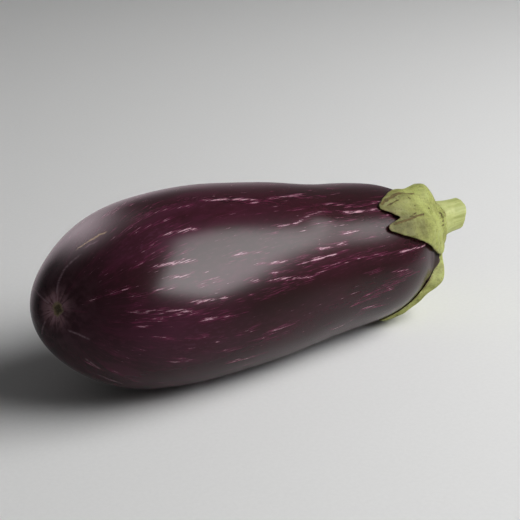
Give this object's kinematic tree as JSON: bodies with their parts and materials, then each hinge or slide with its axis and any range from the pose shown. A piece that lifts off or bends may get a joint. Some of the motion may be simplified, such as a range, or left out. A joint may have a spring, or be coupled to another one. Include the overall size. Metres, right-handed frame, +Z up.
{
  "type": "eggplant",
  "caption": "Glossy dark purple eggplant with pale pink streaks, a green calyx of pointed lobes and a short cut stem, lying on its side.",
  "frame": {"origin": "bottom centre of the bounding box, on the surface that the eggplant lies on", "axes": "+Z up; +X along the fruit from its blossom end to its stem, which is the longest extent; +Y across it"},
  "size_m": [0.2178, 0.079, 0.0782],
  "materials": {
    "fruit_skin": null,
    "calyx_green": null,
    "stem_green": null
  },
  "bodies": {
    "root": {"fruit": "fruit_skin", "calyx": "calyx_green", "stem": "stem_green"}
  },
  "joints": []
}
